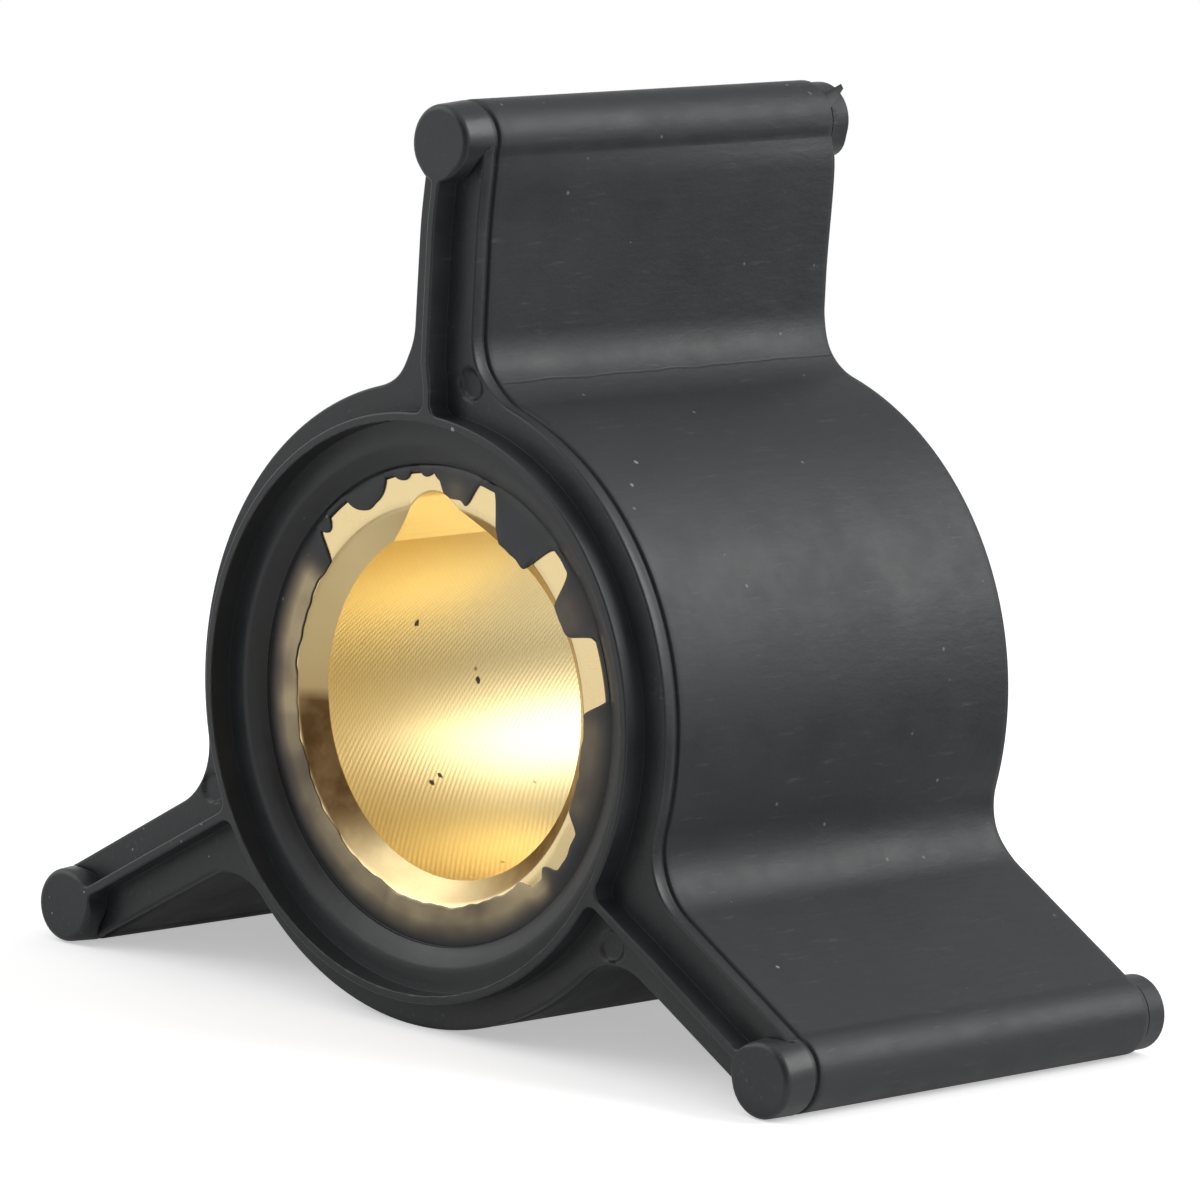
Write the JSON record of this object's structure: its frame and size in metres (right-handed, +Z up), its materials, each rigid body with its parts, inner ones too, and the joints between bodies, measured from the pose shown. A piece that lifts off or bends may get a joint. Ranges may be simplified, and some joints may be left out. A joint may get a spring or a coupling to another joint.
{
  "type": "pump impeller",
  "caption": "Rubber water pump impeller: radial vanes on a round hub, raised sealing rims on both ends, and a bonded brass bush with a keyway.",
  "frame": {"origin": "on the shaft axis at mid length", "axes": "+Y along the shaft axis from the front end (marked by the small pin marks) to the back, +Z up along one vane"},
  "size_m": [0.038, 0.0202, 0.0333],
  "materials": {
    "rubber": "moulded black rubber, satin",
    "brass": "turned brass, fine tool marks"
  },
  "bodies": {
    "root": {"rubber_body": "rubber", "brass_bush": "brass"}
  },
  "joints": []
}
